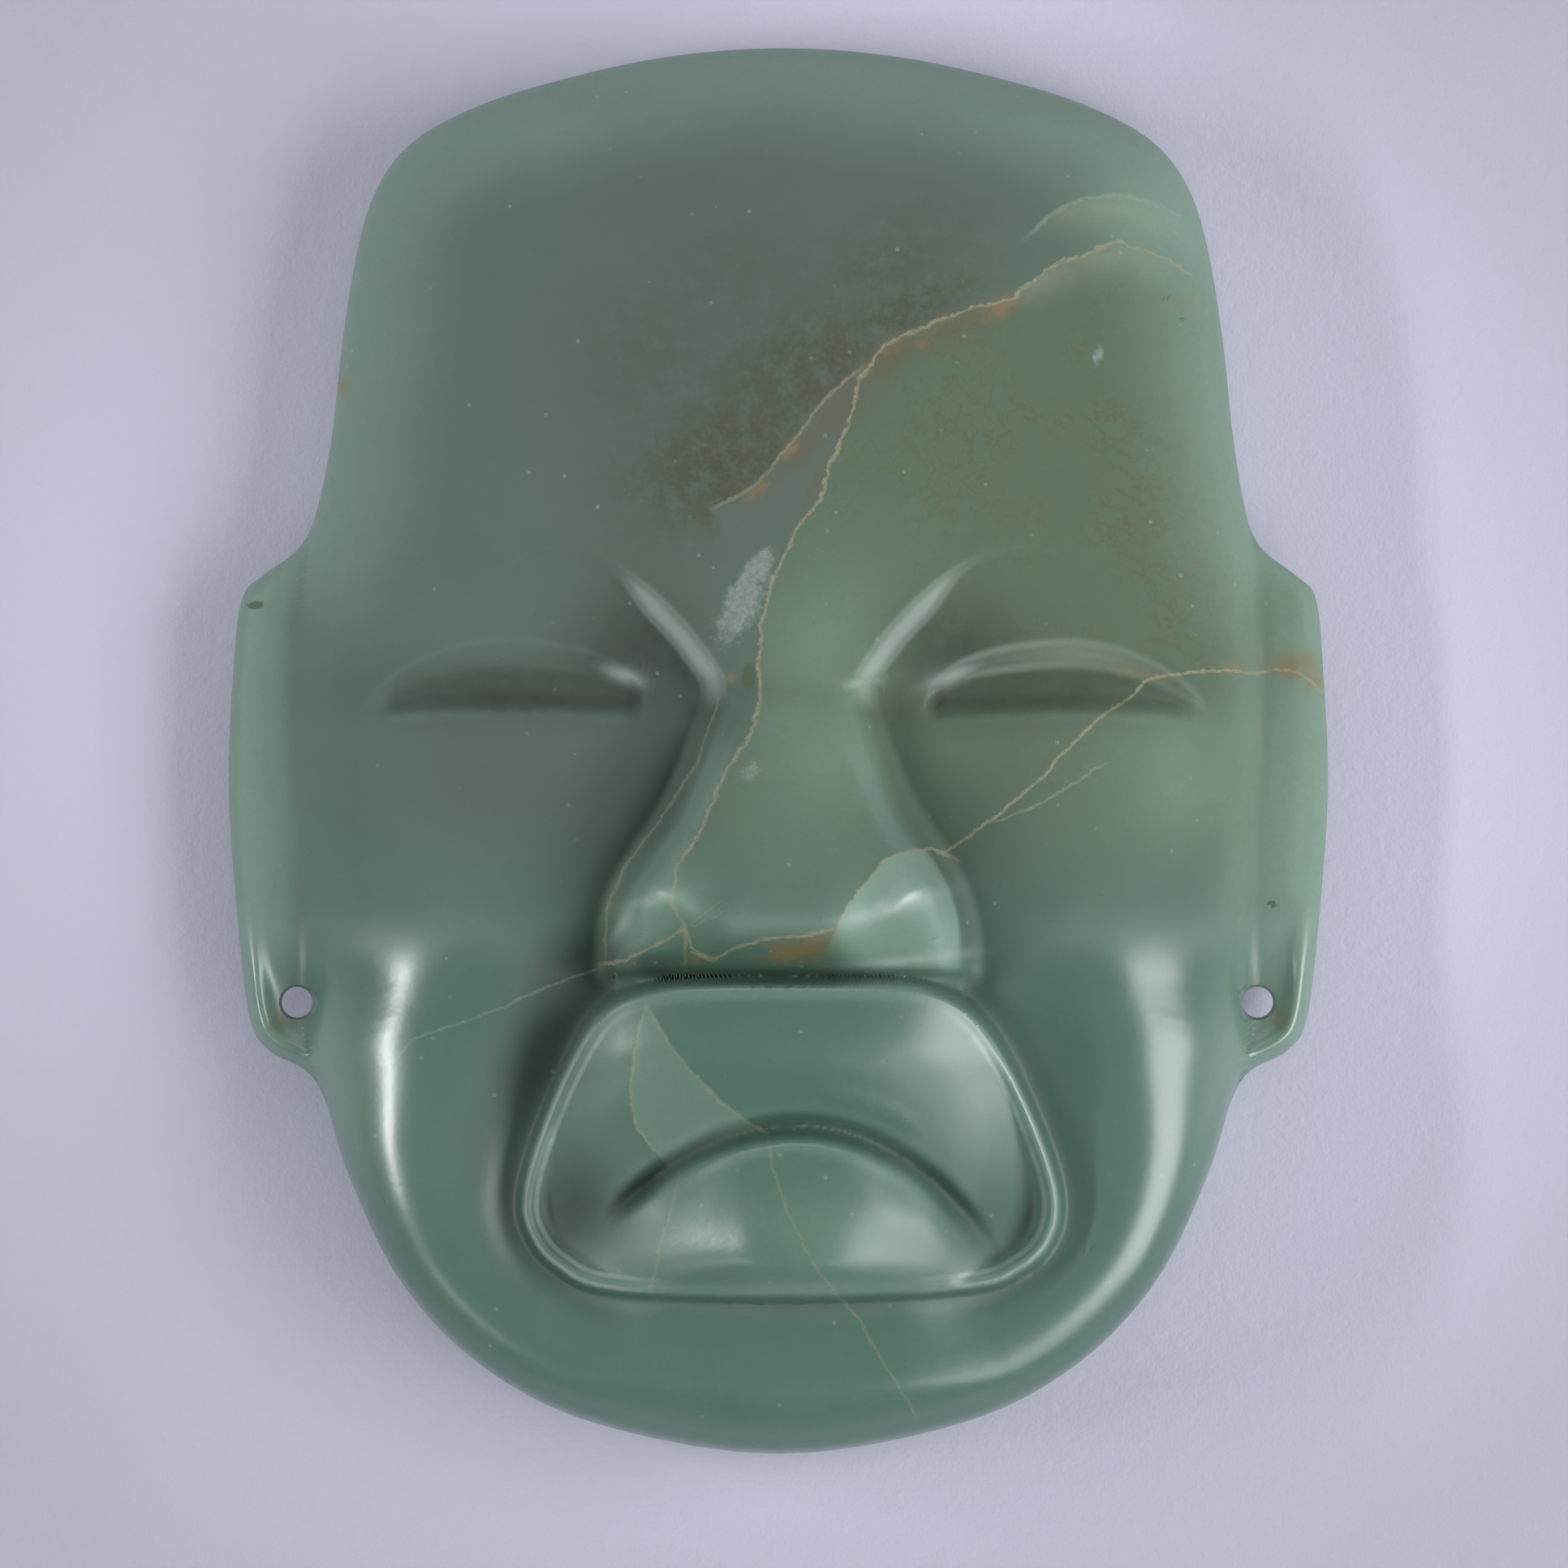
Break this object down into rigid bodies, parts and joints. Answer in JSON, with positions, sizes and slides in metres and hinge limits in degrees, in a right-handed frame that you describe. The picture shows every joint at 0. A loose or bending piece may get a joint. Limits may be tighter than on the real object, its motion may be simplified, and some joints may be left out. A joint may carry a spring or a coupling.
{
  "type": "carved jade face mask",
  "caption": "Carved green stone face mask with slit eyes, broad nose and downturned open mouth, hollow behind, with a suspension hole in each ear.",
  "frame": {"origin": "middle of the mask's box at the height of its flat back rim, which lies on the table", "axes": "+Z out of the face, +Y towards the forehead, +X to the viewer's right"},
  "size_m": [0.125, 0.16, 0.0375],
  "materials": {
    "jade": "polished, mottled green stone with pale seams and rust-brown stain"
  },
  "bodies": {
    "root": {"jade_mask": "jade"}
  },
  "joints": []
}
